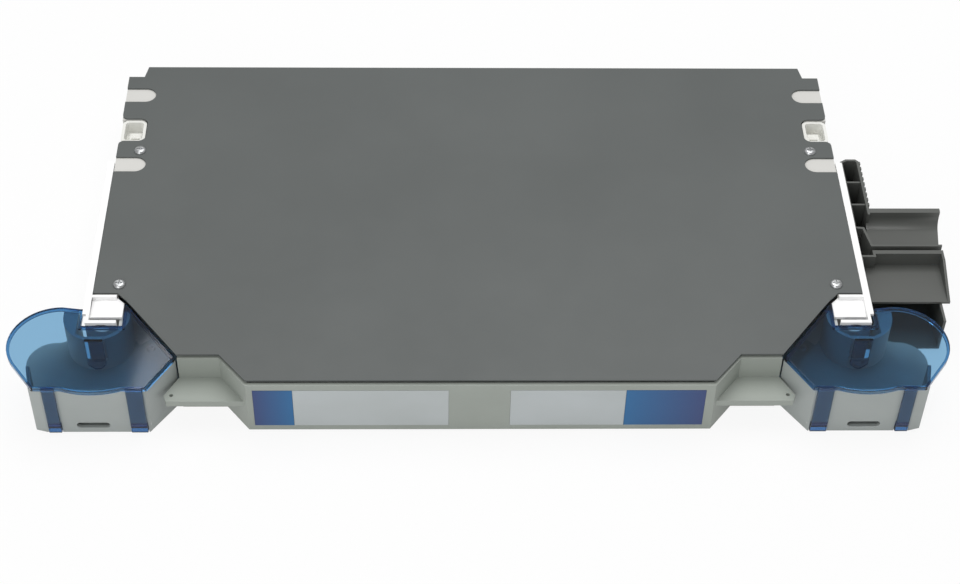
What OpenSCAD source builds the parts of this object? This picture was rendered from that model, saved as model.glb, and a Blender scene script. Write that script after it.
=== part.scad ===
// Rack fibre splice shelf: a flat pan and cover, a drawer with the splices and
// adapters, and two corner guides that lead the fibres round a safe bend under flip lids.
// Millimetres, +Z up. x = 0 is the middle, z = 0 the underside and y = 0 the middle of
// the depth. Modules draw with y = 0 on the drawer's front face, and seat() moves them back.

/* [Shelf] */
// Width of the base pan and top cover
shelf_w = 480; // [474:1:492]
// Depth from the drawer's front face to the rear edge
shelf_d = 294; // [290:1:330]
// Height from the underside to the top of the cover
shelf_h = 43.6; // [43.4:0.1:48]
// Thickness of the pan's and cover's sheet
sheet_t = 1.2; // [1:0.1:1.5]
// Width of the narrower rear end
rear_w = 458.8; // [440:0.2:470]
// Length of the narrower rear end
rear_len = 10.6; // [6:0.2:16]
// Distance from the drawer's front face back to the front outer corners
bay_depth = 74.6; // [74:0.2:80]
// Width of the bay at each front outer corner
bay_w = 15.2; // [13:0.2:17]
// Chamfer between the bay and the slanted front edge
bay_chamfer = 5.6; // [3:0.2:7]
// Width of each front corner that a guide takes, from the side to the guide's tip
corner_w = 55.8; // [53:0.2:57]
// Distance from the drawer's front face to the pan's front edge
pan_front = 19; // [17:0.5:21]
// Width of the pan's top flanges
flange_w = 24; // [20:0.5:28]

/* [Cover openings and screws] */
// Width of the round-ended side slots
slot_w = 14.2; // [10:0.2:16]
// Length of the side slots
slot_len = 20.4; // [14:0.2:22]
// Distance of the front slot from the rear edge
front_slot_in = 100.5; // [98:0.5:104]
// Distance of the rear slot from the rear edge
rear_slot_in = 30; // [26:0.5:34]
// Distance of the cable clamps from the rear edge
clamp_in = 65.9; // [62:0.1:68]
// Width of the clamp opening along the side
clamp_open = 22.6; // [20:0.2:26]
// Length of the clamp opening from the side edge
clamp_len = 17.6; // [16:0.2:20]
// Distance of the cover screws from the side edge
screw_in = 15.5; // [12:0.5:18]
// Distance of the front cover screws from the drawer's front face
front_screw_y = 81.8; // [80:0.2:90]
// Distance of the rear cover screws from the rear edge
rear_screw_in = 87.5; // [85:0.5:90]
// Radius of the cover screws' heads
screw_head_r = 4; // [3:0.1:4.6]
// Height of the cover screws' heads
screw_head_h = 2.2; // [1.6:0.1:3]
// Radius of the screws' shanks
screw_r = 1.5; // [1.2:0.05:1.6]

/* [Drawer] */
// Room kept for a slide between the tray and the line of a guide's tip
slide_room = 8.2; // [7.2:0.1:11]
// Room kept between the end of the tray and the rear edge
tray_room = 22; // [18:1:30]
// Height of the tray's side walls above its floor
tray_wall_h = 30; // [24:0.5:34]
// Width of each recess at the drawer's front face
recess_w = 43; // [40:0.2:46]
// Width of each recess at its back wall
recess_back_w = 25.7; // [24:0.1:28]
// Height of the top of the drawer's front
front_top = 41; // [39:0.1:41.4]
// Height of the bottom of the drawer's front
front_bottom = 0.8; // [0.6:0.1:1.6]
// Wall of the drawer's front
front_t = 2.8; // [2:0.1:3.2]
// Depth of the recesses beside the drawer's front
recess_d = 22; // [18:0.5:22.4]
// Top of the ledges in the recesses
ledge_top = 24; // [18:0.5:30]
// Thickness of the ledges
ledge_t = 4.4; // [3:0.1:6]
// Reach of each ledge past the line of a guide's tip
ledge_reach = 6; // [3:0.2:8]
// Height of the name strips on the drawer's front
label_h = 32; // [24:0.5:33]
// Bottom of the name strips
label_z = 4.8; // [4:0.1:6]
// Thickness of the name strips
label_t = 0.6; // [0.4:0.1:0.8]

/* [Fibre parts] */
// Length of the plate kept free at each end of the row of adapters
adapter_margin = 18; // [16:1:60]
// Distance between neighbouring adapters
adapter_pitch = 12.7; // [11.5:0.1:13.4]
// Distance of the adapter plate from the drawer's front face
plate_y = 62; // [56:0.5:66]
// Thickness of the adapter plate
plate_t = 1.5; // [1:0.1:2]
// Outer radius of the slack spools
spool_r = 30; // [26:0.5:32]
// Height of the slack spools
spool_h = 20; // [14:0.5:26]
// Length of tray kept at each end of the splice cassette for a slack spool
spool_zone = 88; // [87:1:94]
// Width of the splice cassette along the drawer
cassette_w = 104; // [100:1:120]
// Height of the splice cassette
cassette_h = 12; // [9:0.5:16]
// Number of splices in each comb
splice_n = 12; // [6:1:12]
// Distance between neighbouring splices
splice_pitch = 3.6; // [3.2:0.1:3.8]
// Radius of the splice protection sleeves
sleeve_r = 1.25; // [1:0.05:1.4]
// Length of the splice protection sleeves
sleeve_l = 45; // [40:1:60]

/* [Corner guides] */
// Distance of each row of rack screws in from the side of the shelf
ear_in = 7.45; // [6.5:0.05:8.5]
// Distance between the upper and lower rack screws
rack_rise = 31.75; // [31:0.05:32]
// Height of the lower rack screws
rack_z = 6.35; // [6:0.05:6.6]
// Distance of the rack ears from the drawer's front face
ear_y = 49.4; // [49.2:0.1:50.2]
// Height of the guide walls
guide_h = 38; // [36:0.1:38.4]
// Wall thickness of the guides
guide_t = 2.2; // [1.8:0.1:2.6]
// Underside of the guide floors
guide_floor_z = 9.4; // [9.2:0.1:11]
// Outer radius of the bend drums
drum_r = 20.5; // [20:0.1:21.2]
// Distance of the drum axes from the drawer's front face
drum_y = 59.5; // [59:0.1:61]
// Height of the top of the flip lids
lid_top = 41.5; // [41.2:0.1:43]
// Thickness of the lid plates
lid_t = 1.6; // [1.2:0.1:2]
// Radius of the lid's outer corner
wing_r = 29.9; // [27:0.1:31]
// Width of the inner lid straps
inner_strap_w = 10; // [8:0.2:10.4]
// Width of the outer lid straps
outer_strap_w = 7.6; // [6:0.2:8.4]
// Radius of the hinge pins
pin_r = 1; // [0.8:0.05:1.2]

/* [Bracket and side trough] */
// Thickness of the rack brackets
bracket_t = 2; // [1.5:0.1:2.5]
// Distance from the drawer's front face to the bracket's rear end
bracket_end = 196; // [190:1:200]
// Outer reach of the trough beyond the bracket
trough_w = 54.4; // [46:0.2:56]
// Height of the trough's walls
trough_top = 40; // [38:0.1:42]
// Depth of the trough's upper channel
channel_d = 10; // [8:0.2:14]
// Wall thickness of the trough
trough_t = 1.6; // [1.2:0.1:2]
// Width of the trough's rear arm
arm_w = 12.6; // [10:0.2:14]

/* [Hidden] */
$fn = 64;
eps = 0.01;

// Shelf outline
half_w = shelf_w / 2;
cover_z = shelf_h - sheet_t;
flange_z = cover_z - sheet_t;
tip_x = half_w - corner_w;
cover_gap = 1.2;
recess_y = recess_d + cover_gap;
nose_y = 2.2;
rear_y = shelf_d - rear_len;
rear_taper = 2;
bay = [half_w - bay_w - bay_chamfer, bay_depth - bay_chamfer];
screw_x = half_w - screw_in;
clamp_in_x = half_w - clamp_len;
clamp_y = shelf_d - clamp_in;
front_slot_y = shelf_d - front_slot_in;
rear_slot_y = shelf_d - rear_slot_in;
rear_screw_y = shelf_d - rear_screw_in;
clamp_sill = 8;

// Drawer stations
tray_z = sheet_t + 1.2;
tray_floor = tray_z + sheet_t;
tray_x = tip_x - slide_room;
tray_w = 2 * tray_x;
tray_end = shelf_d - tray_room;
front_x = tip_x - recess_w;
root_x = tip_x - recess_back_w;
ledge_x = tip_x + ledge_reach;
tray_front = recess_d + front_t;
boss_r = 4;
boss_h = 13;
boss_places = [[front_x - 16, front_t + 6], [root_x + 9.5, tray_front + 5.5]];
label_pocket = 0.5;
tab_w = [24, 48.3];
tab_start = [3.8 - front_x, front_x - 5.4 - tab_w[1]];
strip_in = [-19.4, 17.8];
colour_tabs = [[tab_start[0], tab_w[0]], [tab_start[1], tab_w[1]]];
name_strips = [[tab_start[0] + tab_w[0], strip_in[0] - tab_start[0] - tab_w[0]],
  [strip_in[1], tab_start[1] - strip_in[1]]];

// Slides: a fixed channel on the pan and a moving channel on the tray
run = 0.3;
slide_t = 1.2;
slide_z = 8;
slide_h = 12;
slide_reach = 4.2;
slide_x = tray_x + slide_reach;
runner_front = 80;
runner_rear = shelf_d - 14;
runner_foot = 11;

// Corner guide stations, worked out from the rack screw line
ear_x = half_w - ear_in;
guide_front = -1;
guide_in = [ear_x - 31.25, guide_front];
guide_out = [ear_x + 31.45, guide_front];
facet = [ear_x + 38.2, guide_front + 1.9];
floor_wing = [ear_x + 32, 44.5];
floor_wing_r = 17;
diag = [bay[0] - tip_x, bay[1] - recess_y];
diag_u = diag / norm(diag);
diag_n = [diag_u[1], -diag_u[0]];
guide_gap = 0.8;
guide_tip = [tip_x, recess_y] + guide_gap * diag_n;
guide_heel = bay + guide_gap * diag_n;
drum_x = ear_x + 3.95;
drum_end = drum_y + 4;
guide_plate_t = 2;
guide_floor = guide_floor_z + guide_plate_t;
side_wall_end = facet + [3.6, 17];
access = [ear_x + 2.6, 20.3, 4.7];

// Lid and hinge
strap_t = 1.8;
strap_gap = 0.3;
strap_y = guide_front - strap_gap - strap_t;
lid_front = guide_front - 0.8;
lid_skirt = 3.2;
lid_under = lid_top - lid_t;
skirt_z = lid_top - lid_skirt;
hinge_y = 1;
hinge_z = 6;
barrel_r = 2.6;
tail_r = 5.9;
pocket_y = hinge_y + tail_r + 0.4;
pin_fit = 0.04;
inner_strap_x = ear_x - 25.25;
outer_strap_x = ear_x + 25.95;
wing = [ear_x + 25.45, 34.6];
lip = [outer_strap_x - inner_strap_x - (inner_strap_w + outer_strap_w) / 2 - 6, 3.2];
lip_mid = (inner_strap_x + outer_strap_x) / 2;
tongue_x = ear_x + 3.45;
tongue_size = [11.2, 1.5, 26];
tongue_y = drum_y - drum_r - 0.6 - tongue_size[1];
window = [12.8, 21.5];

// Rack bracket
bracket_in = half_w + 0.3;
bracket_out = bracket_in + bracket_t + 2.3;
bracket_top = shelf_h - 0.2;
bracket_bottom = 1;
ear_t = 2.5;
ear_edge = ear_x - 9.35;
ear_slot = [10, 6.8];
post_gap = 5;
shelf_z = guide_h + 0.4;
shelf_lip = 2.8;
notch_in = ear_x - 12.95;
notch_out = bracket_out + 0.3;
notch_front = ear_y - 0.6;

// Side trough
trough_out = bracket_out + trough_w;
trough_front = 64.5;
trough_mid = 116.2;
channel_front = 119.8;
channel_rear = 152.7;
arm_end = 203;
trough_flare = 4.6;
plate_front = 79.7;

function arc(c, r, a0, a1, n) =
  [for (i = [0:n]) let (a = a0 + (a1 - a0) * i / n) c + r * [cos(a), sin(a)]];
function mirrored(p) = [for (i = [len(p) - 1:-1:0]) [-p[i][0], p[i][1]]];
function both_halves(p) = concat(p, mirrored(p));
function unit(v) = v / norm(v);
function left_of(u) = [-u[1], u[0]];

// Moves each edge of a counter-clockwise outline inwards by d
function inset(p, d) = [for (i = [0:len(p) - 1])
  let (n = len(p), b = p[i],
       n1 = left_of(unit(b - p[(i + n - 1) % n])),
       n2 = left_of(unit(p[(i + 1) % n] - b)))
  b + d * (n1 + n2) / (1 + n1 * n2)];

// A band of width t on the left of an open path, mitred at its corners
function band(p, t) = let (n = len(p) - 1) concat(p, [for (i = [n:-1:0])
  let (n1 = left_of(unit(p[max(i, 1)] - p[max(i, 1) - 1])),
       n2 = left_of(unit(p[min(i, n - 1) + 1] - p[min(i, n - 1)])))
  p[i] + t * (n1 + n2) / (1 + n1 * n2)]);

rear_half = [[half_w - bay_w, bay_depth], [half_w, bay_depth], [half_w, rear_y],
  [rear_w / 2, rear_y], [rear_w / 2 - rear_taper, shelf_d]];
cover_half = concat([[front_x, nose_y], [root_x, recess_y], [tip_x, recess_y], bay], rear_half);
pan_half = concat([[tip_x - 1, pan_front], [tip_x, recess_y], bay], rear_half);

guide_outline = concat([guide_in, guide_out, facet],
  arc(floor_wing, floor_wing_r, -8, 96, 13),
  [[drum_x + drum_r, drum_end], [drum_x - drum_r, drum_end], guide_tip]);

// The front edge bows forward between the straps, as a lip for a fingertip
lip_points = [for (i = [0:12]) let (k = i / 6 - 1)
  [lip_mid + k * lip[0] / 2, lid_front - lip[1] * (1 - k * k)]];

lid_outline = concat([[guide_in[0] - 1.6, lid_front]], lip_points,
  [[guide_out[0] + 4.3, lid_front]],
  arc(wing, wing_r, -31.5, 90, 18),
  [[notch_out + 1.9, wing[1] + wing_r - 1.6], [notch_out, wing[1] + wing_r - 1.6],
   [notch_out, notch_front], [notch_in, notch_front], [notch_in, guide_heel[1] - 0.4],
   guide_tip + [0.5, -0.6]]);

module seat() { translate([0, -shelf_d / 2, 0]) children(); }
module left_side() { mirror([1, 0, 0]) children(); }
module both_sides() {
  children();
  left_side() children();
}

// A straight wall from p to q with its thickness to the left of that direction
module wall(p, q, t, z0, z1) {
  n = left_of(unit(q - p)) * t;
  translate([0, 0, z0]) linear_extrude(z1 - z0) polygon([p, q, q + n, p + n]);
}

// A rectangle with round corners, centred
module round_rect(w, d, r) {
  square([w - 2 * r, d], center = true);
  square([w, d - 2 * r], center = true);
  for (sx = [-1, 1], sy = [-1, 1])
    translate([sx * (w / 2 - r), sy * (d / 2 - r)]) circle(r);
}

// A pan head screw standing on z = 0 with its shank going down
module pan_screw(head_r, head_h, shank_r, shank_l) {
  difference() {
    rotate_extrude() polygon(concat([[0, 0], [head_r, 0]],
      arc([head_r - head_h, 0], head_h, 20, 80, 5), [[0, head_h]]));
    for (a = [0, 90])
      rotate(a) translate([0, 0, head_h]) cube([head_r * 1.1, head_h * 0.28, head_h], center = true);
  }
  translate([0, 0, -shank_l]) cylinder(r = shank_r, h = shank_l + eps);
}

// ---- Pan and cover ----

module base_pan() {
  color("gainsboro") seat() difference() {
    union() {
      linear_extrude(sheet_t) polygon(both_halves(pan_half));
      difference() {
        linear_extrude(cover_z) difference() {
          polygon(both_halves(rear_half));
          polygon(inset(both_halves(rear_half), sheet_t));
        }
        translate([bay_w - half_w, bay_depth - 1, -1])
          cube([shelf_w - 2 * bay_w, sheet_t + 2, shelf_h + 2]);
      }
      both_sides() translate([half_w - flange_w, bay_depth + sheet_t, flange_z])
        cube([flange_w - sheet_t, rear_y - bay_depth - 2 * sheet_t, sheet_t]);
    }
    both_sides() {
      translate([half_w - flange_w - 1, clamp_y - clamp_open / 2, clamp_sill])
        cube([flange_w + 2, clamp_open, shelf_h]);
      for (y = [front_screw_y, rear_screw_y])
        translate([screw_x, y, flange_z - 1]) cylinder(r = screw_r + 0.05, h = sheet_t + 2);
      for (p = guide_screw_places)
        translate([p[0], p[1], -1]) cylinder(r = screw_r + 0.05, h = sheet_t + 2);
      for (p = bracket_screw_places)
        translate([half_w - sheet_t - 1, p[0], p[1]]) rotate([0, 90, 0])
          cylinder(r = screw_r + 0.05, h = sheet_t + 2);
      for (s = [-1, 1])
        translate([clamp_screw_x, clamp_y + s * clamp_screw_span, -1])
          cylinder(r = screw_r + 0.05, h = sheet_t + 2);
    }
  }
}

// A round-ended slot that is open at the side edge
module side_slot(y) {
  translate([half_w - slot_len + slot_w / 2, y]) {
    circle(slot_w / 2);
    translate([0, -slot_w / 2]) square([slot_len, slot_w]);
  }
}

// The clamp opening, with round inner corners and flared outer corners
module clamp_opening() {
  flare = 4;
  translate([clamp_in_x + clamp_len / 2, clamp_y]) round_rect(clamp_len, clamp_open, 5);
  translate([clamp_in_x + clamp_len / 2, clamp_y - clamp_open / 2]) square([clamp_len, clamp_open]);
  for (s = [-1, 1])
    translate([half_w - flare, clamp_y + s * (clamp_open / 2 + flare / 2)]) difference() {
      translate([0, -flare / 2]) square([flare + 1, flare]);
      translate([0, s * flare / 2]) circle(flare);
    }
}

module top_cover() {
  color("dimgray") seat() translate([0, 0, cover_z]) linear_extrude(sheet_t) difference() {
    polygon(both_halves(cover_half));
    both_sides() {
      side_slot(front_slot_y);
      side_slot(rear_slot_y);
      clamp_opening();
      for (y = [front_screw_y, rear_screw_y])
        translate([screw_x, y]) circle(screw_r + 0.2);
    }
  }
}

module cover_screws() {
  color("silver") seat() both_sides() for (y = [front_screw_y, rear_screw_y])
    translate([screw_x, y, shelf_h]) pan_screw(screw_head_r, screw_head_h, screw_r, 5);
}

// ---- Cable clamps ----

clamp_gap = 0.4;
clamp_w = clamp_open - 2 * clamp_gap;
clamp_body = clamp_len - 1.4;
clamp_top = cover_z - 0.4;
clamp_wall = 2;
clamp_bore = 6;
clamp_bore_z = 16;
clamp_screw_x = clamp_in_x - 4;
clamp_screw_span = 6;

module right_cable_clamp() {
  color("white") seat() translate([clamp_in_x + 0.7, clamp_y, sheet_t]) {
    difference() {
      union() {
        linear_extrude(clamp_top - sheet_t)
          translate([clamp_body / 2, 0]) round_rect(clamp_body, clamp_w, 4);
        translate([-9, -clamp_w / 2 + 1, 0]) cube([14, clamp_w - 2, 2.4]);
      }
      translate([clamp_wall, 0, clamp_top - sheet_t - 9]) linear_extrude(10)
        translate([(clamp_body - 2 * clamp_wall) / 2, 0])
          round_rect(clamp_body - 2 * clamp_wall, clamp_w - 2 * clamp_wall, 2.5);
      translate([clamp_len - 0.7 - sheet_t - clamp_gap, -clamp_w, -1])
        cube([clamp_len, 2 * clamp_w, clamp_sill + clamp_gap - sheet_t + 1]);
      translate([-10, 0, clamp_bore_z]) rotate([0, 90, 0]) cylinder(r = clamp_bore, h = 40);
      for (x = [4, 8, 12])
        translate([x, 0, clamp_bore_z]) rotate([0, 90, 0]) cylinder(r = clamp_bore + 0.8, h = 1.6);
      for (s = [-1, 1])
        translate([clamp_screw_x - clamp_in_x - 0.7, s * clamp_screw_span, -1])
          cylinder(r = screw_r + 0.2, h = 5);
    }
    translate([clamp_wall + 1.5, -6, clamp_top - sheet_t - 9 - eps]) difference() {
      cube([8, 10, 3.4]);
      translate([1.2, 3.6, 2.2]) cube([5.6, 1.2, 3]);
    }
  }
}

module left_cable_clamp() { left_side() right_cable_clamp(); }

module clamp_screws() {
  color("silver") seat() both_sides() for (s = [-1, 1])
    translate([clamp_screw_x, clamp_y + s * clamp_screw_span, sheet_t + 2.4])
      pan_screw(2.6, 1.6, screw_r, 3.5);
}

// ---- Corner guides ----

tongue_in = guide_tip + 0.36 * (guide_heel - guide_tip);
tongue_out = guide_tip + 0.92 * (guide_heel - guide_tip);
tongue_w = 12;
tongue_t = 2.4;
front_foot = [13, 1.6];
guide_screw_places = [for (k = [0.22, 0.78])
  tongue_in + k * (tongue_out - tongue_in) - 7 * diag_n];

// The rounded drum that the fibres bend round, open at the rear
module drum_plan(r) {
  translate([drum_x, drum_y]) circle(r);
  translate([drum_x - r, drum_y]) square([2 * r, drum_end - drum_y]);
}

// The straight-sided pocket that the rack ear stands in, narrowing to the window in front
function rim_y(x, r) = drum_y - sqrt(r * r - (x - drum_x) * (x - drum_x));
drum_wall = 2;
ear_pocket_x = [ear_edge - 0.9, notch_out + 3.1];
window_x = [tongue_x - window[0] / 2 - 0.5, tongue_x + window[0] / 2 + 0.5];
ear_pocket = [for (x = [ear_pocket_x[0], window_x[0], window_x[1], ear_pocket_x[1]])
  [x, rim_y(x, drum_r - drum_wall)]];

module ear_pocket_plan() {
  polygon(concat([[ear_pocket_x[0], drum_end + 1]], ear_pocket, [[ear_pocket_x[1], drum_end + 1]]));
}

// A block of the front sill that carries one hinge
module sill(x, w) {
  translate([x - w / 2 - 3.6, guide_front, 0])
    cube([w + 7.2, pocket_y + 2 - guide_front, guide_floor_z + eps]);
}

module hinge_pocket(x, w) {
  translate([x - w / 2 - strap_gap, guide_front - 1, -1])
    cube([w + 2 * strap_gap, pocket_y - guide_front + 1, hinge_z + barrel_r + 1.6]);
}

module right_guide_box() {
  color("lightgray") seat() difference() {
    union() {
      intersection() {
        union() {
          translate([0, 0, guide_floor_z]) linear_extrude(guide_plate_t) difference() {
            polygon(guide_outline);
            translate([ear_pocket_x[0], ear_y - 0.6])
              square([ear_pocket_x[1] - ear_pocket_x[0], drum_end - ear_y + 1.6]);
          }
          linear_extrude(guide_floor_z + eps) difference() {
            polygon(guide_outline);
            polygon(inset(guide_outline, guide_t));
            translate([drum_x - drum_r, drum_y]) square([2 * drum_r, 20]);
          }
          translate([inner_strap_x, guide_front, 0])
            cube([outer_strap_x - inner_strap_x, front_foot[0], front_foot[1]]);
          sill(inner_strap_x, inner_strap_w);
          sill(outer_strap_x, outer_strap_w);
        }
        translate([0, 0, -1]) linear_extrude(guide_h + 2) polygon(guide_outline);
      }
      linear_extrude(guide_h)
        polygon(band([guide_tip, guide_in, guide_out, facet, side_wall_end], guide_t));
      wall(tongue_in, tongue_out, tongue_w, sheet_t, sheet_t + tongue_t);
      wall(tongue_out, tongue_in, guide_t, sheet_t, guide_floor);
    }
    hinge_pocket(inner_strap_x, inner_strap_w);
    hinge_pocket(outer_strap_x, outer_strap_w);
    for (p = pin_spans)
      translate([p[0], hinge_y, hinge_z]) rotate([0, 90, 0])
        cylinder(r = pin_r + pin_fit, h = p[1]);
    translate([access[0], guide_front - 1, rack_z]) rotate([-90, 0, 0])
      linear_extrude(guide_t + 2) round_rect(access[1], access[2], access[2] / 2 - eps);
    for (p = guide_screw_places)
      translate([p[0], p[1], 0]) cylinder(r = screw_r + 0.2, h = 5);
  }
}

module left_guide_box() { left_side() right_guide_box(); }

module right_bend_drum() {
  color("gainsboro") seat() difference() {
    translate([0, 0, guide_floor]) linear_extrude(guide_h - guide_floor) difference() {
      drum_plan(drum_r);
      ear_pocket_plan();
      translate([drum_x - drum_r - 1, drum_end]) square([2 * drum_r + 2, drum_r]);
    }
    translate([tongue_x, drum_y - drum_r + drum_wall + 4, guide_h - 1]) rotate([90, 0, 0])
      linear_extrude(drum_wall + 6) tongue_plan(window[0], window[1]);
  }
}

module left_bend_drum() { left_side() right_bend_drum(); }

module guide_screws() {
  color("silver") seat() both_sides() for (p = guide_screw_places)
    translate([p[0], p[1], sheet_t + tongue_t]) pan_screw(2.8, 1.8, screw_r, 3.5);
}

// Where each hinge pin starts, and its length
pin_hold = 2.1;
pin_spans = [
  [inner_strap_x - inner_strap_w / 2 - pin_hold, inner_strap_w + 2 * pin_hold],
  [outer_strap_x - outer_strap_w / 2 - pin_hold, outer_strap_w + 2 * pin_hold]];

module right_hinge_pins() {
  color("silver") seat() for (p = pin_spans)
    translate([p[0], hinge_y, hinge_z]) rotate([0, 90, 0]) cylinder(r = pin_r, h = p[1]);
}

module left_hinge_pins() { left_side() right_hinge_pins(); }

// ---- Flip lids ----

// A plate w wide that hangs h below its top edge, with its lower corners cut off
module tongue_plan(w, h) {
  polygon([[-w / 2, 0], [-w / 2, -h + 4], [-w / 2 + 4, -h], [w / 2 - 4, -h], [w / 2, -h + 4], [w / 2, 0]]);
}

// A strap with its hinge eye, from the lid's front edge down to the pin
module strap(x, w) {
  translate([x - w / 2, 0, 0]) {
    translate([0, strap_y, hinge_z]) cube([w, strap_t, lid_top - hinge_z]);
    translate([0, strap_y, skirt_z]) cube([w, lid_front - strap_y + 1.2, lid_skirt]);
    translate([0, strap_y, hinge_z - eps]) cube([w, hinge_y - strap_y, 2]);
    translate([0, hinge_y, hinge_z]) rotate([0, 90, 0]) cylinder(r = barrel_r, h = w);
    intersection() {
      translate([0, hinge_y, hinge_z]) rotate([0, 90, 0]) cylinder(r = tail_r, h = w);
      translate([0, strap_y, 0]) cube([w, hinge_y - strap_y, hinge_z]);
    }
  }
}

// A cut that bevels the lid's top edge from p to q
module edge_bevel(p, q, size) {
  u = unit(q - p);
  a = atan2(u[1], u[0]);
  translate([p[0], p[1], lid_top]) rotate([0, 0, a]) translate([-3, 0, 0]) rotate([45, 0, 0])
    translate([0, -size / sqrt(2), -size / sqrt(2)]) cube([norm(q - p) + 6, size * sqrt(2), size * sqrt(2)]);
}

module right_lid() {
  n = len(lid_outline);
  color("dodgerblue") seat() difference() {
    union() {
      translate([0, 0, lid_under]) linear_extrude(lid_t) polygon(lid_outline);
      translate([0, 0, skirt_z]) linear_extrude(lid_skirt - eps) difference() {
        polygon(lid_outline);
        polygon(inset(lid_outline, lid_t));
      }
      translate([tongue_x, tongue_y + tongue_size[1], lid_under + eps]) rotate([90, 0, 0])
        linear_extrude(tongue_size[1]) tongue_plan(tongue_size[0], tongue_size[2]);
      strap(inner_strap_x, inner_strap_w);
      strap(outer_strap_x, outer_strap_w);
    }
    for (x = [inner_strap_x - inner_strap_w / 2 - 1, outer_strap_x - outer_strap_w / 2 - 1])
      translate([x, hinge_y, hinge_z]) rotate([0, 90, 0])
        cylinder(r = pin_r + pin_fit, h = inner_strap_w + 2);
    edge_bevel(lid_outline[n - 1], lid_outline[0], 1.2);
  }
}

module left_lid() { left_side() right_lid(); }

// ---- Rack brackets ----

bracket_screw_ys = [92, 182];
bracket_screw_zs = [11, 31];
bracket_screw_places = [for (y = bracket_screw_ys, z = bracket_screw_zs) [y, z]];

// The small shelf behind the ear, cut back along the chamfer of the bay
shelf_in = notch_in + 0.8;
shelf_front = ear_y + ear_t + post_gap;
shelf_rear = bay_depth - 1;
bracket_shelf = [[shelf_in, shelf_front], [bracket_in + eps, shelf_front], [bracket_in + eps, shelf_rear],
  [bay[0] + shelf_rear - bay[1] + sqrt(2), shelf_rear], [shelf_in, bay[1] + shelf_in - bay[0] - sqrt(2)]];

module rack_bracket(extra_holes) {
  web_h = bracket_top - bracket_bottom;
  color("white") seat() difference() {
    union() {
      translate([bracket_in, ear_y, bracket_bottom]) cube([bracket_t, bracket_end - ear_y, web_h]);
      translate([ear_edge, ear_y, bracket_bottom]) cube([bracket_in - ear_edge + eps, ear_t, web_h]);
      for (z = [bracket_bottom, bracket_top - bracket_t])
        translate([bracket_in, shelf_front, z])
          cube([bracket_out - bracket_in, bracket_end - shelf_front, bracket_t]);
      translate([0, 0, shelf_z]) linear_extrude(bracket_t) polygon(bracket_shelf);
      translate([bracket_shelf[3][0], shelf_rear - bracket_t, shelf_z])
        cube([bracket_in - bracket_shelf[3][0] + eps, bracket_t, bracket_t + shelf_lip]);
    }
    for (z = [rack_z, rack_z + rack_rise])
      translate([ear_x, ear_y - 1, z]) rotate([-90, 0, 0]) linear_extrude(ear_t + 2)
        round_rect(ear_slot[0], ear_slot[1], ear_slot[1] / 2 - eps);
    for (p = concat(bracket_screw_places, extra_holes))
      translate([bracket_in - 1, p[0], p[1]]) rotate([0, 90, 0])
        cylinder(r = screw_r + 0.2, h = bracket_t + 2);
  }
}

module right_rack_bracket() { rack_bracket(concat(trough_screw_places, box_screw_places)); }

module left_rack_bracket() { left_side() rack_bracket([]); }

module bracket_screws() {
  color("silver") seat() both_sides() for (p = bracket_screw_places)
    translate([bracket_in + bracket_t, p[0], p[1]]) rotate([0, 90, 0])
      pan_screw(2.8, 1.8, screw_r, 4.5);
}

// ---- Side trough ----

// Profile of the upper channel: front wall, floor, and a rear wall that curls back
module channel_profile() {
  z0 = trough_top - channel_d;
  fillet = 6;
  difference() {
    translate([channel_front, z0 - trough_t])
      square([channel_rear - channel_front, channel_d + trough_t]);
    translate([channel_front + trough_t, z0 + fillet])
      square([channel_rear - channel_front - 2 * trough_t, channel_d]);
    translate([channel_front + trough_t, z0])
      square([channel_rear - channel_front - 2 * trough_t - fillet, channel_d]);
    translate([channel_rear - trough_t - fillet, z0 + fillet]) circle(fillet);
    translate([channel_rear - trough_t, z0 + fillet + 1.8])
      square([trough_t + 1, channel_d]);
  }
  translate([channel_rear - trough_t, z0 + fillet]) difference() {
    square([trough_t + 2.4, channel_d - fillet]);
    translate([trough_t + 2.4 + eps, -eps]) circle(channel_d - fillet - trough_t);
  }
}

arm_out = bracket_out + arm_w;
arm_floor = 6;
arm_plan = [[bracket_out, channel_front + 16.8], [bracket_out + 5.4, channel_front + 16.2],
  [bracket_out + 8.6, channel_front], [arm_out, channel_front], [arm_out, arm_end - 2],
  [arm_out - 2, arm_end], [bracket_out + 4, arm_end], [bracket_out, arm_end - 2.5]];

module trough_chute() {
  z0 = trough_top - channel_d;
  color("dimgray") seat() difference() {
    union() {
      translate([arm_out - trough_t, 0, 0]) rotate([90, 0, 90])
        linear_extrude(trough_out + trough_flare - arm_out + trough_t) channel_profile();
      difference() {
        translate([0, 0, arm_floor - trough_t]) linear_extrude(trough_top - arm_floor + trough_t)
          polygon(arm_plan);
        translate([0, 0, arm_floor]) linear_extrude(trough_top) polygon(inset(arm_plan, trough_t));
        translate([arm_out - trough_t - 1, channel_front + trough_t, z0])
          cube([trough_t + 2, channel_rear - channel_front - 3 * trough_t, channel_d + 1]);
      }
      for (y = [160.5, 182])
        translate([bracket_out, y - 0.7, arm_floor]) cube([arm_w, 1.4, trough_top - arm_floor - 1.5]);
      for (y = [channel_rear + 5.5:5:arm_end - 4])
        translate([arm_out - eps, y, trough_top - 7]) cube([0.9, 2.4, 7]);
    }
    translate([0, 0, arm_floor]) linear_extrude(trough_top)
      polygon([[trough_out, channel_front - 1], [trough_out + trough_flare, channel_rear],
        [trough_out + 3 * trough_flare, channel_rear + 5], [trough_out + 3 * trough_flare, channel_front - 1]]);
    for (p = trough_screw_places)
      translate([bracket_out - 1, p[0], p[1]]) rotate([0, 90, 0]) cylinder(r = screw_r + 0.2, h = 5);
  }
}

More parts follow.
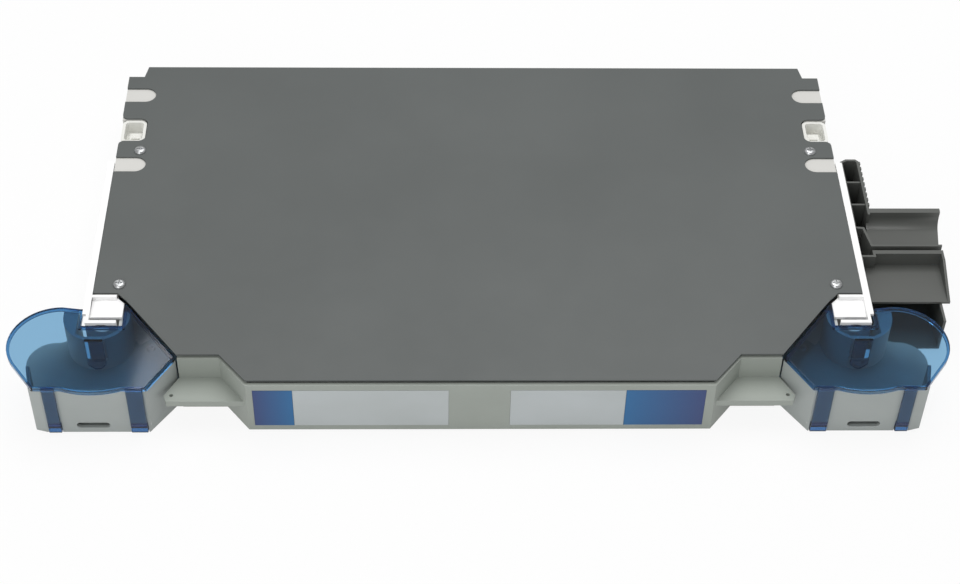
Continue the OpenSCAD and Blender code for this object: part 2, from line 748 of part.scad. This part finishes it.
module trough_box() {
  z0 = trough_top - channel_d;
  floor_z = 2;
  low_w = trough_w - 5;
  len_y = trough_mid - plate_front;
  color("dimgray") seat() difference() {
    union() {
      difference() {
        translate([bracket_out, trough_front, floor_z])
          cube([low_w, trough_mid - trough_front, z0 - trough_t - floor_z + eps]);
        translate([bracket_out + trough_t, trough_front - 1, floor_z + trough_t])
          cube([low_w - 2 * trough_t, trough_mid - trough_front - trough_t + 1, trough_top]);
      }
      difference() {
        translate([bracket_out, plate_front, z0 - trough_t]) cube([trough_w, len_y, channel_d + trough_t]);
        translate([bracket_out + trough_t, plate_front - 1, z0])
          cube([trough_w - 2 * trough_t, len_y - 2 * trough_t + 1, channel_d + 1]);
        translate([bracket_out + trough_t, plate_front - 1, z0])
          cube([7.2, len_y - 6 - trough_t + 1, channel_d + 1]);
      }
      translate([bracket_out, trough_mid - 6, z0 - eps])
        cube([8.8 + trough_t, trough_t, channel_d + eps]);
      translate([bracket_out + 8.8, trough_mid - 6, z0 - eps]) cube([trough_t, 6, channel_d + eps]);
    }
    translate([trough_out + 1, plate_front, trough_top]) rotate([0, -90, 0])
      linear_extrude(trough_w + 2) polygon([[1, -1], [1, len_y - 6], [-channel_d - 0.3, -1]]);
    translate([bracket_out - 1, trough_mid - 6 + trough_t, z0 - trough_t - 1])
      cube([9.8 + eps, 10, channel_d * 2]);
    for (p = box_screw_places)
      translate([bracket_out - 1, p[0], p[1]]) rotate([0, 90, 0]) cylinder(r = screw_r + 0.2, h = 5);
  }
}

trough_screw_places = [[146, 22], [172, 22]];
box_screw_places = [[84, 15], [106, 20]];

module trough_screws() {
  color("silver") seat() for (p = concat(trough_screw_places, box_screw_places))
    translate([bracket_out + trough_t, p[0], p[1]]) rotate([0, 90, 0])
      pan_screw(2.8, 1.8, screw_r, trough_t + 4.1);
}

// ---- Drawer ----

module right_runner() {
  out = slide_x + run + slide_t;
  low = slide_z - run - slide_t;
  high = slide_z + slide_h + run;
  color("silver") seat() translate([0, runner_front, 0]) rotate([90, 0, 180]) mirror([1, 0, 0])
    linear_extrude(runner_rear - runner_front) {
      translate([slide_x + run, sheet_t]) square([slide_t, high + slide_t - sheet_t]);
      for (z = [low, high])
        translate([tray_x + slide_t + 0.4, z]) square([out - tray_x - slide_t - 0.4, slide_t]);
      translate([slide_x + run, sheet_t]) square([runner_foot, slide_t]);
    }
}

module left_runner() { left_side() right_runner(); }

module right_slide() {
  color("silver") seat() translate([0, tray_front + 14, 0]) rotate([90, 0, 180])
    mirror([1, 0, 0]) linear_extrude(tray_end - tray_front - 18) {
      translate([tray_x, slide_z]) square([slide_t, slide_h]);
      for (z = [slide_z, slide_z + slide_h - slide_t])
        translate([tray_x, z]) square([slide_reach, slide_t]);
    }
}

module left_slide() { left_side() right_slide(); }

tray_half = [[front_x - 3.4, front_t + 0.2], [root_x - 3.4, tray_front], [tray_x, tray_front],
  [tray_x, tray_end]];

module drawer_tray() {
  color("lightgray") seat() difference() {
    union() {
      translate([0, 0, tray_z]) linear_extrude(sheet_t) polygon(both_halves(tray_half));
      both_sides() translate([tray_x - sheet_t, plate_y, tray_z])
        cube([sheet_t, tray_end - plate_y, tray_wall_h + sheet_t]);
      difference() {
        translate([-tray_x, tray_end - sheet_t, tray_z]) cube([tray_w, sheet_t, tray_wall_h + sheet_t]);
        for (s = [-1, 1])
          translate([s * (tray_x - 66), tray_end, tray_floor + tray_wall_h]) rotate([90, 0, 0])
            cylinder(r = 14, h = 4, center = true);
      }
    }
    both_sides() for (p = boss_places)
      translate([p[0], p[1], tray_z - eps]) {
        cylinder(r1 = 2.8, r2 = screw_r + 0.05, h = sheet_t + 2 * eps);
        cylinder(r = screw_r + 0.05, h = 4);
      }
  }
}

front_path = [[0, 0], [front_x, 0], [root_x, recess_d], [tip_x - 0.5, recess_d]];

module front_half() {
  translate([0, 0, front_bottom]) linear_extrude(front_top - front_bottom)
    polygon(band(front_path, front_t));
  translate([0, 0, ledge_top - ledge_t]) linear_extrude(ledge_t)
    polygon([[front_x + 1.6, 2.5], [ledge_x, 2.5], [ledge_x + 1.7, 7],
      [tip_x - 0.5, recess_d], [tip_x - 0.5, recess_d + 1], [root_x - 1, recess_d + 1]]);
  for (p = boss_places)
    translate([p[0], p[1], tray_floor]) {
      cylinder(r = boss_r, h = boss_h);
      translate([-1, -boss_r - 2.6, 0]) cube([2, 3.4, boss_h]);
    }
}

module drawer_front() {
  color("silver") seat() difference() {
    both_sides() front_half();
    for (s = concat(name_strips, colour_tabs))
      translate([s[0], -1, label_z]) cube([s[1], label_pocket + 1, label_h]);
    translate([-tip_x - 1, pan_front - run, front_bottom - 1])
      cube([2 * tip_x + 2, recess_d + front_t, sheet_t + run - front_bottom + 1]);
    both_sides() {
      translate([ledge_x - 2.9, 7.5, ledge_top - ledge_t - 1]) cylinder(r = 1.2, h = ledge_t + 2);
      for (p = boss_places)
        translate([p[0], p[1], tray_floor - 1]) cylinder(r = screw_r + 0.05, h = boss_h);
    }
  }
}

module front_screws() {
  color("silver") seat() both_sides() for (p = boss_places) translate([p[0], p[1], tray_z]) {
    cylinder(r1 = 2.7, r2 = screw_r, h = sheet_t);
    cylinder(r = screw_r, h = 9);
  }
}

module strip(s) {
  seat() translate([s[0] + 0.1, label_pocket - label_t, label_z + 0.1])
    cube([s[1] - 0.2, label_t, label_h - 0.2]);
}

module left_name_strip() { color("white") strip(name_strips[0]); }
module right_name_strip() { color("white") strip(name_strips[1]); }
module left_colour_tab() { color("steelblue") strip(colour_tabs[0]); }
module right_colour_tab() { color("steelblue") strip(colour_tabs[1]); }

// ---- Adapters ----

adapter_w = 9.2;
adapter_h = 13;
adapter_l = 27;
adapter_flange = [9.4, 22, 1.6];
adapter_z = 21.5;
plate_h = 35;
plate_w = tray_w - 2 * sheet_t - 4;
adapter_n = floor((plate_w - 2 * adapter_margin) / adapter_pitch);

module adapter_row() {
  for (i = [0:adapter_n - 1])
    translate([(i - (adapter_n - 1) / 2) * adapter_pitch, plate_y, adapter_z]) children();
}

module adapter_plate() {
  color("gainsboro") seat() difference() {
    union() {
      translate([-plate_w / 2, plate_y, tray_floor]) cube([plate_w, plate_t, plate_h]);
      translate([-plate_w / 2, plate_y, tray_floor]) cube([plate_w, 12, plate_t]);
    }
    adapter_row() cube([adapter_w + 0.4, 8, adapter_h + 0.4], center = true);
    for (x = [-1, 0, 1], s = [-1, 1])
      translate([x * (plate_w / 2 - 22.8), plate_y + 7, 0]) cylinder(r = screw_r, h = 20);
  }
}

module adapters() {
  color("royalblue") seat() adapter_row() difference() {
    union() {
      cube([adapter_w, adapter_l, adapter_h], center = true);
      translate([0, -adapter_flange[2] / 2, 0])
        cube([adapter_flange[0], adapter_flange[2], adapter_flange[1]], center = true);
    }
    for (s = [-1, 1])
      translate([0, s * (adapter_l / 2 - 4.5), 0]) cube([adapter_w - 1.8, 10, adapter_h - 3.6], center = true);
  }
}

module dust_caps() {
  color("white") seat() adapter_row() translate([0, -adapter_l / 2, 0]) {
    translate([0, -2.2, 0]) cube([adapter_w - 1, 4, adapter_h - 1.6], center = true);
    translate([0, 3.6, 0]) cube([adapter_w - 2.4, 8, adapter_h - 4.2], center = true);
  }
}

// ---- Splices and slack ----

cassette_l = tray_w - 2 * spool_zone;
cassette_y = 170;
cassette_r = 24;
cassette_wall = 1.6;
comb_w = splice_n * splice_pitch;
comb_l = 36;
comb_h = 5;
comb_places = [-1, 1] * (comb_w / 2 + 1.5);
return_r = 16;
return_x = cassette_l / 2 - return_r - 8;

module cassette_plan(grow) {
  round_rect(cassette_l + 2 * grow, cassette_w + 2 * grow, cassette_r + grow);
}

module splice_cassette() {
  color("whitesmoke") seat() translate([0, cassette_y, tray_floor]) {
    linear_extrude(cassette_wall) cassette_plan(0);
    linear_extrude(cassette_h) difference() {
      cassette_plan(0);
      cassette_plan(-cassette_wall);
      for (sx = [-1, 1], sy = [-1, 1])
        translate([sx * (cassette_l / 2 - 34), sy * cassette_w / 2]) square([12, 8], center = true);
    }
    for (s = [-1, 1])
      translate([s * return_x, 0, 0]) linear_extrude(cassette_h - 1) difference() {
        circle(return_r);
        circle(return_r - cassette_wall);
      }
  }
}

module cassette_lid() {
  color("lightblue") seat() translate([0, cassette_y, tray_floor + cassette_h]) {
    linear_extrude(1.2) difference() {
      cassette_plan(-0.2);
      for (s = [-1, 1])
        translate([s * cassette_l / 2, 0]) circle(7);
    }
  }
}

module splice_combs() {
  color("steelblue") seat() for (y = comb_places)
    translate([-comb_l / 2, cassette_y + y - comb_w / 2, tray_floor + cassette_wall]) difference() {
      cube([comb_l, comb_w, comb_h]);
      for (i = [0:splice_n - 1])
        translate([-1, (i + 0.5) * splice_pitch, comb_h - sleeve_r * 0.6]) rotate([0, 90, 0])
          cylinder(r = sleeve_r + 0.05, h = comb_l + 2);
      translate([comb_l * 0.3, -1, 2]) cube([comb_l * 0.4, comb_w + 2, comb_h]);
    }
}

module splice_sleeves() {
  color("lightcyan") seat() for (y = comb_places, i = [0:splice_n - 1])
    translate([-sleeve_l / 2, cassette_y + y - comb_w / 2 + (i + 0.5) * splice_pitch,
      tray_floor + cassette_wall + comb_h - sleeve_r * 0.6]) rotate([0, 90, 0])
      cylinder(r = sleeve_r, h = sleeve_l);
}

spool_x = tray_x - spool_r - 12;
spool_t = 2;

module right_slack_spool() {
  color("whitesmoke") seat() translate([spool_x, cassette_y, tray_floor]) {
    linear_extrude(1.6) circle(spool_r + 4);
    linear_extrude(spool_h) difference() {
      circle(spool_r);
      circle(spool_r - spool_t);
    }
    for (a = [45:90:315])
      rotate(a) translate([spool_r - spool_t, -5, spool_h - 1.6]) cube([spool_t + 6, 10, 1.6]);
  }
}

module left_slack_spool() { left_side() right_slack_spool(); }

clip_front = cassette_y - cassette_w / 2 - 9;
clip_rear = (cassette_y + cassette_w / 2 + tray_end) / 2;
clip_places = [[cassette_l / 2 - 18, clip_front - 9], [spool_x, clip_front], [cassette_l / 4, clip_rear],
  [spool_x, clip_rear - 11]];

module fibre_clips() {
  color("whitesmoke") seat() both_sides() for (p = clip_places)
    translate([p[0], p[1] + 4, tray_floor]) rotate([90, 0, 0]) linear_extrude(8) {
      translate([-5, 0]) square([10, 1.6]);
      translate([0, 6.4]) difference() {
        circle(5.6);
        circle(4.2);
        translate([-1.2, 0]) square([2.4, 8]);
      }
    }
}

base_pan();
top_cover();
cover_screws();
left_cable_clamp();
right_cable_clamp();
clamp_screws();
left_guide_box();
right_guide_box();
left_bend_drum();
right_bend_drum();
guide_screws();
left_hinge_pins();
right_hinge_pins();
left_rack_bracket();
right_rack_bracket();
bracket_screws();
trough_chute();
trough_box();
trough_screws();
left_runner();
right_runner();
drawer_tray();
drawer_front();
front_screws();
left_name_strip();
right_name_strip();
left_colour_tab();
right_colour_tab();
left_slide();
right_slide();
adapter_plate();
adapters();
dust_caps();
splice_cassette();
cassette_lid();
splice_combs();
splice_sleeves();
left_slack_spool();
right_slack_spool();
fibre_clips();
left_lid();
right_lid();
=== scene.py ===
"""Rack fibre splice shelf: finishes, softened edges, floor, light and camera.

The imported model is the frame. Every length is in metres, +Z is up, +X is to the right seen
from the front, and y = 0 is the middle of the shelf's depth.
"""
from math import atan, cos, pi, radians, sin, tan

import bpy
import numpy as np
from mathutils import Matrix, Vector


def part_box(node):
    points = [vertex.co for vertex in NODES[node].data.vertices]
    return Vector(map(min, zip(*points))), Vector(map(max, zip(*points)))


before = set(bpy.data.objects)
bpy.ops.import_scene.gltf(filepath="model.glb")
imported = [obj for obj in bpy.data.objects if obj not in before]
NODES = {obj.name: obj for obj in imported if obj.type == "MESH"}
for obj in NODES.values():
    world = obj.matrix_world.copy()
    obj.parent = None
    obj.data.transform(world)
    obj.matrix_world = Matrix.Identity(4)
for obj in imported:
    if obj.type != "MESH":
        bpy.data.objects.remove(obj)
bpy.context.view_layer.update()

MM = 0.001
DEPTH = 294 * MM
FRONT_Y = -DEPTH / 2


# ------------------------------------------------------------------ materials


def shade(rgb):
    """A colour written as it looks on a screen, 0 to 255, as the light it stands for:
    each channel through the screen's curve, a straight foot below 10 and a 2.4 power above."""
    c = np.array(rgb[:3], float) / 255
    lin = np.where(c <= 0.04045, c / 12.92, ((c + 0.055) / 1.055) ** 2.4)
    return (*[float(v) for v in lin], 1.0)


class Finish:
    """A material being wired: a principled shader with patterns on Object coordinates."""

    def __init__(self, name, colour, roughness, **sockets):
        self.material = bpy.data.materials.new(name)
        self.material.use_nodes = True
        self.tree = self.material.node_tree
        self.shader = self.tree.nodes["Principled BSDF"]
        self.place = self.tree.nodes.new("ShaderNodeTexCoord").outputs["Object"]
        self.shader.inputs["Base Color"].default_value = shade(colour)
        self.shader.inputs["Roughness"].default_value = roughness
        for key, value in sockets.items():
            self.shader.inputs[key.replace("_", " ")].default_value = value

    def node(self, kind, **values):
        n = self.tree.nodes.new("ShaderNode" + kind)
        for key, value in values.items():
            if hasattr(n, key):
                setattr(n, key, value)
            else:
                n.inputs[key.replace("_", " ")].default_value = value
        return n

    def link(self, a, b):
        self.tree.links.new(a, b)

    def noise(self, scale, detail=3.0, stretch=(1, 1, 1)):
        """Cloud noise with so many lumps a metre, drawn out along an axis by stretch."""
        m = self.node("Mapping")
        m.inputs["Scale"].default_value = stretch
        self.link(self.place, m.inputs["Vector"])
        n = self.node("TexNoise", Scale=scale, Detail=detail)
        self.link(m.outputs["Vector"], n.inputs["Vector"])
        return n.outputs["Fac"]

    def drift(self, colours, scale, stretch=(1, 1, 1), detail=3.0):
        """The colour wanders between two colours as a soft cloud."""
        mix = self.node("Mix", data_type="RGBA")
        ramp = self.node("MapRange")
        ramp.inputs["From Min"].default_value = 0.3
        ramp.inputs["From Max"].default_value = 0.7
        self.link(self.noise(scale, detail, stretch), ramp.inputs["Value"])
        self.link(ramp.outputs["Result"], mix.inputs["Factor"])
        mix.inputs["A"].default_value = shade(colours[0])
        mix.inputs["B"].default_value = shade(colours[1])
        self.link(mix.outputs["Result"], self.shader.inputs["Base Color"])
        return mix

    def grain(self, scale, depth, stretch=(1, 1, 1), detail=2.0, strength=0.5):
        """Fine bumps of that height, in metres, from cloud noise."""
        bump = self.node("Bump", Strength=strength, Distance=depth)
        self.link(self.noise(scale, detail, stretch), bump.inputs["Height"])
        self.link(bump.outputs["Normal"], self.shader.inputs["Normal"])
        return bump

    def patchy(self, low, high, scale, stretch=(1, 1, 1)):
        """The roughness wanders between two values."""
        ramp = self.node("MapRange")
        ramp.inputs["To Min"].default_value = low
        ramp.inputs["To Max"].default_value = high
        self.link(self.noise(scale, 4.0, stretch), ramp.inputs["Value"])
        self.link(ramp.outputs["Result"], self.shader.inputs["Roughness"])


def powder_coat(name, low, high, roughness, grain=0.00006):
    """Baked powder on sheet steel: a faint orange peel under a faint drift of tone."""
    f = Finish(name, low, roughness)
    f.drift((low, high), 9)
    f.grain(900, grain)
    f.patchy(roughness - 0.05, roughness + 0.07, 60)
    return f.material


def moulding(name, low, high, roughness, grain=0.00003):
    """Moulded plastic: an even spark-eroded texture and a faint flow drift."""
    f = Finish(name, low, roughness)
    f.drift((low, high), 14, (1, 1, 2))
    f.grain(1500, grain, detail=4.0)
    f.patchy(roughness - 0.04, roughness + 0.06, 90)
    return f.material


def zinc_plate(name, low, high, roughness):
    """Bright zinc on steel: a metal with a clouded tone and fine drawn scratches."""
    f = Finish(name, low, roughness, Metallic=1.0)
    f.drift((low, high), 160)
    f.grain(2500, 0.00001, (1, 8, 1))
    f.patchy(roughness - 0.06, roughness + 0.1, 300)
    return f.material


def clear_plastic(name, tint, density, roughness, colour=(255, 255, 255)):
    """Clear plastic that soaks up light by depth: each channel fades by one minus the tint,
    times the density, for every metre of the way through."""
    f = Finish(name, colour, roughness, Transmission_Weight=1.0, IOR=1.46)
    f.patchy(roughness, roughness + 0.03, 40)
    f.grain(70, 0.00002, detail=1.0, strength=0.25)
    soak = f.node("VolumeAbsorption", Density=density)
    soak.inputs["Color"].default_value = (*tint, 1)
    f.link(soak.outputs["Volume"], f.tree.nodes["Material Output"].inputs["Volume"])
    return f.material


cover_paint = powder_coat("cover_paint", (80, 84, 83), (86, 90, 89), 0.5)
pan_paint = powder_coat("pan_paint", (200, 199, 195), (210, 209, 205), 0.5)
bracket_paint = powder_coat("bracket_paint", (244, 244, 243), (250, 250, 250), 0.45)
front_moulding = moulding("front_moulding", (150, 156, 149), (156, 162, 155), 0.5)
guide_moulding = moulding("guide_moulding", (160, 166, 164), (166, 172, 170), 0.48)
trough_moulding = moulding("trough_moulding", (80, 82, 79), (88, 90, 87), 0.42)
clamp_moulding = moulding("clamp_moulding", (226, 226, 220), (234, 234, 230), 0.4)
natural_moulding = moulding("natural_moulding", (224, 226, 224), (232, 234, 232), 0.42)
adapter_moulding = moulding("adapter_moulding", (24, 74, 146), (30, 84, 156), 0.3)
zinc = zinc_plate("zinc", (186, 188, 188), (206, 208, 210), 0.3)
strip_paper = moulding("strip_paper", (176, 182, 182), (184, 190, 192), 0.42)
lid_blue = clear_plastic("lid_blue", (0.0, 0.46, 0.72), 780, 0.04)
clear_sleeve = clear_plastic("clear_sleeve", (0.75, 0.85, 0.88), 60, 0.08)


def fading_blue(name, outer_x, inner_x):
    """A printed panel whose blue turns to indigo towards its outer end, along X."""
    f = Finish(name, (20, 70, 120), 0.32)
    split = f.node("SeparateXYZ")
    f.link(f.place, split.inputs["Vector"])
    ramp = f.node("MapRange")
    ramp.inputs["From Min"].default_value = inner_x
    ramp.inputs["From Max"].default_value = outer_x
    f.link(split.outputs["X"], ramp.inputs["Value"])
    mix = f.node("Mix", data_type="RGBA")
    mix.inputs["A"].default_value = shade((6, 96, 150))
    mix.inputs["B"].default_value = shade((36, 58, 112))
    f.link(ramp.outputs["Result"], mix.inputs["Factor"])
    f.link(mix.outputs["Result"], f.shader.inputs["Base Color"])
    f.grain(1800, 0.00001)
    return f.material


def middle_ends(node):
    """The inner and outer X of a node, counted from the middle of the shelf."""
    lo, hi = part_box(node)
    return (lo.x, hi.x) if hi.x > 0 else (hi.x, lo.x)


FINISHES = {
    cover_paint: ["top_cover"],
    pan_paint: ["base_pan", "drawer_tray", "adapter_plate"],
    bracket_paint: ["left_rack_bracket", "right_rack_bracket"],
    front_moulding: ["drawer_front"],
    guide_moulding: ["left_guide_box", "right_guide_box"],
    trough_moulding: ["trough_chute", "trough_box"],
    clamp_moulding: ["left_cable_clamp", "right_cable_clamp"],
    natural_moulding: ["dust_caps", "splice_cassette", "left_slack_spool",
                       "right_slack_spool", "fibre_clips"],
    adapter_moulding: ["adapters", "splice_combs"],
    zinc: ["cover_screws", "clamp_screws", "guide_screws", "left_hinge_pins",
           "right_hinge_pins", "bracket_screws", "trough_screws", "front_screws",
           "left_runner", "right_runner", "left_slide", "right_slide"],
    strip_paper: ["left_name_strip", "right_name_strip"],
    lid_blue: ["left_lid", "right_lid"],
    clear_sleeve: ["cassette_lid", "splice_sleeves"],
}


def coat(node, material):
    """Gives a node one material all over."""
    mesh = NODES[node].data
    mesh.materials.clear()
    mesh.materials.append(material)


for material, nodes in FINISHES.items():
    for node in nodes:
        coat(node, material)
for node in ("left_colour_tab", "right_colour_tab"):
    inner, outer = middle_ends(node)
    coat(node, fading_blue(node + "_print", outer, inner))


def soften(node, width, segments=2, angle=35):
    """Rounds a node's edges: its triangles are welded, flat fans become single faces, and
    every edge sharper than the angle is bevelled by the width."""
    o = NODES[node]
    weld = o.modifiers.new("weld", "WELD")
    weld.merge_threshold = 0.00001
    flat = o.modifiers.new("flat", "DECIMATE")
    flat.decimate_type = "DISSOLVE"
    flat.angle_limit = radians(0.5)
    bevel = o.modifiers.new("bevel", "BEVEL")
    bevel.width = width
    bevel.segments = segments
    bevel.limit_method = "ANGLE"
    bevel.angle_limit = radians(angle)
    bevel.harden_normals = False


SOFT_EDGES = {
    0.0003: ["top_cover", "base_pan", "left_rack_bracket", "right_rack_bracket"],
    0.0005: ["drawer_front", "left_guide_box", "right_guide_box", "left_cable_clamp",
             "right_cable_clamp"],
    0.0004: ["trough_chute", "trough_box", "left_lid", "right_lid"],
}
for width, nodes in SOFT_EDGES.items():
    for node in nodes:
        soften(node, width)

# --------------------------------------------------------- floor, light, camera


def floor_mesh(half, z):
    """A square floor: a grid of two by two points at height z."""
    u, v = np.meshgrid([-half, half], [-half, half])
    verts = np.stack([u.ravel(), v.ravel(), np.full(4, z)], axis=1)
    mesh = bpy.data.meshes.new("floor")
    mesh.from_pydata(verts.tolist(), [], [(0, 1, 3, 2)])
    return mesh


floor = bpy.data.objects.new("floor", floor_mesh(6.0, -0.0003))
bpy.context.scene.collection.objects.link(floor)
paper = Finish("floor_paper", (236, 236, 236), 0.9)
paper.shader.inputs["Specular IOR Level"].default_value = 0.1
glow = paper.node("Emission", Strength=1.0)
glow.inputs["Color"].default_value = (1, 1, 1, 1)
blend = paper.node("MixShader")
path = paper.node("LightPath")
seen = paper.node("Math", operation="MAXIMUM")
seen_2 = paper.node("Math", operation="MAXIMUM")
share = paper.node("Math", operation="MULTIPLY")
share.inputs[1].default_value = 0.9
paper.link(path.outputs["Is Camera Ray"], seen.inputs[0])
paper.link(path.outputs["Is Glossy Ray"], seen.inputs[1])
paper.link(seen.outputs["Value"], seen_2.inputs[0])
paper.link(path.outputs["Is Transmission Ray"], seen_2.inputs[1])
paper.link(seen_2.outputs["Value"], share.inputs[0])
paper.link(share.outputs["Value"], blend.inputs["Fac"])
paper.link(paper.shader.outputs["BSDF"], blend.inputs[1])
paper.link(glow.outputs["Emission"], blend.inputs[2])
paper.link(blend.outputs["Shader"], paper.tree.nodes["Material Output"].inputs["Surface"])
floor.data.materials.append(paper.material)

world = bpy.data.worlds.new("studio")
bpy.context.scene.world = world
world.use_nodes = True
wt = world.node_tree
sky = wt.nodes["Background"]
sky.inputs["Color"].default_value = (1, 1, 1, 1)
sky.inputs["Strength"].default_value = 0.45
white = wt.nodes.new("ShaderNodeBackground")
white.inputs["Color"].default_value = (1, 1, 1, 1)
white.inputs["Strength"].default_value = 1.0
pick = wt.nodes.new("ShaderNodeMixShader")
ray = wt.nodes.new("ShaderNodeLightPath")
wt.links.new(ray.outputs["Is Camera Ray"], pick.inputs["Fac"])
wt.links.new(sky.outputs["Background"], pick.inputs[1])
wt.links.new(white.outputs["Background"], pick.inputs[2])
wt.links.new(pick.outputs["Shader"], wt.nodes["World Output"].inputs["Surface"])


def soft_lamp(name, place, aim, size, power):
    """A square area lamp at a place, aimed at a point."""
    lamp = bpy.data.lights.new(name, "AREA")
    lamp.shape = "SQUARE"
    lamp.size = size
    lamp.energy = power
    o = bpy.data.objects.new(name, lamp)
    o.location = place
    o.rotation_euler = (Vector(aim) - Vector(place)).to_track_quat("-Z", "Y").to_euler()
    bpy.context.scene.collection.objects.link(o)
    return o


soft_lamp("overhead", (0.1, 0.5, 1.9), (0, 0, 0), 1.6, 26)
soft_lamp("front_fill", (-0.7, -1.7, 1.1), (0, -0.1, 0.02), 1.2, 12)


def aim_camera(place, pitch, yaw, roll, lens):
    """A level camera turned left by yaw about Z, tipped down by pitch, then rolled."""
    p, w, r = radians(pitch), radians(yaw), radians(roll)
    turn = np.array([[cos(w), -sin(w), 0], [sin(w), cos(w), 0], [0, 0, 1]])
    ahead = turn @ [0, cos(p), -sin(p)]
    right = turn @ [1, 0, 0]
    up = turn @ [0, sin(p), cos(p)]
    right, up = cos(r) * right + sin(r) * up, -sin(r) * right + cos(r) * up
    cam = bpy.data.cameras.new("camera")
    cam.sensor_width = 36
    cam.lens = lens
    cam.clip_start = 0.01
    o = bpy.data.objects.new("camera", cam)
    m = np.eye(4)
    m[:3, 0], m[:3, 1], m[:3, 2], m[:3, 3] = right, up, -ahead, place
    o.matrix_world = Matrix(m.tolist())
    bpy.context.scene.collection.objects.link(o)
    bpy.context.scene.camera = o


aim_camera((-0.0276, FRONT_Y - 0.7735, 0.9232), 46.0, -1.887, 1.346, 73.47)
bpy.context.scene.view_settings.view_transform = "Standard"
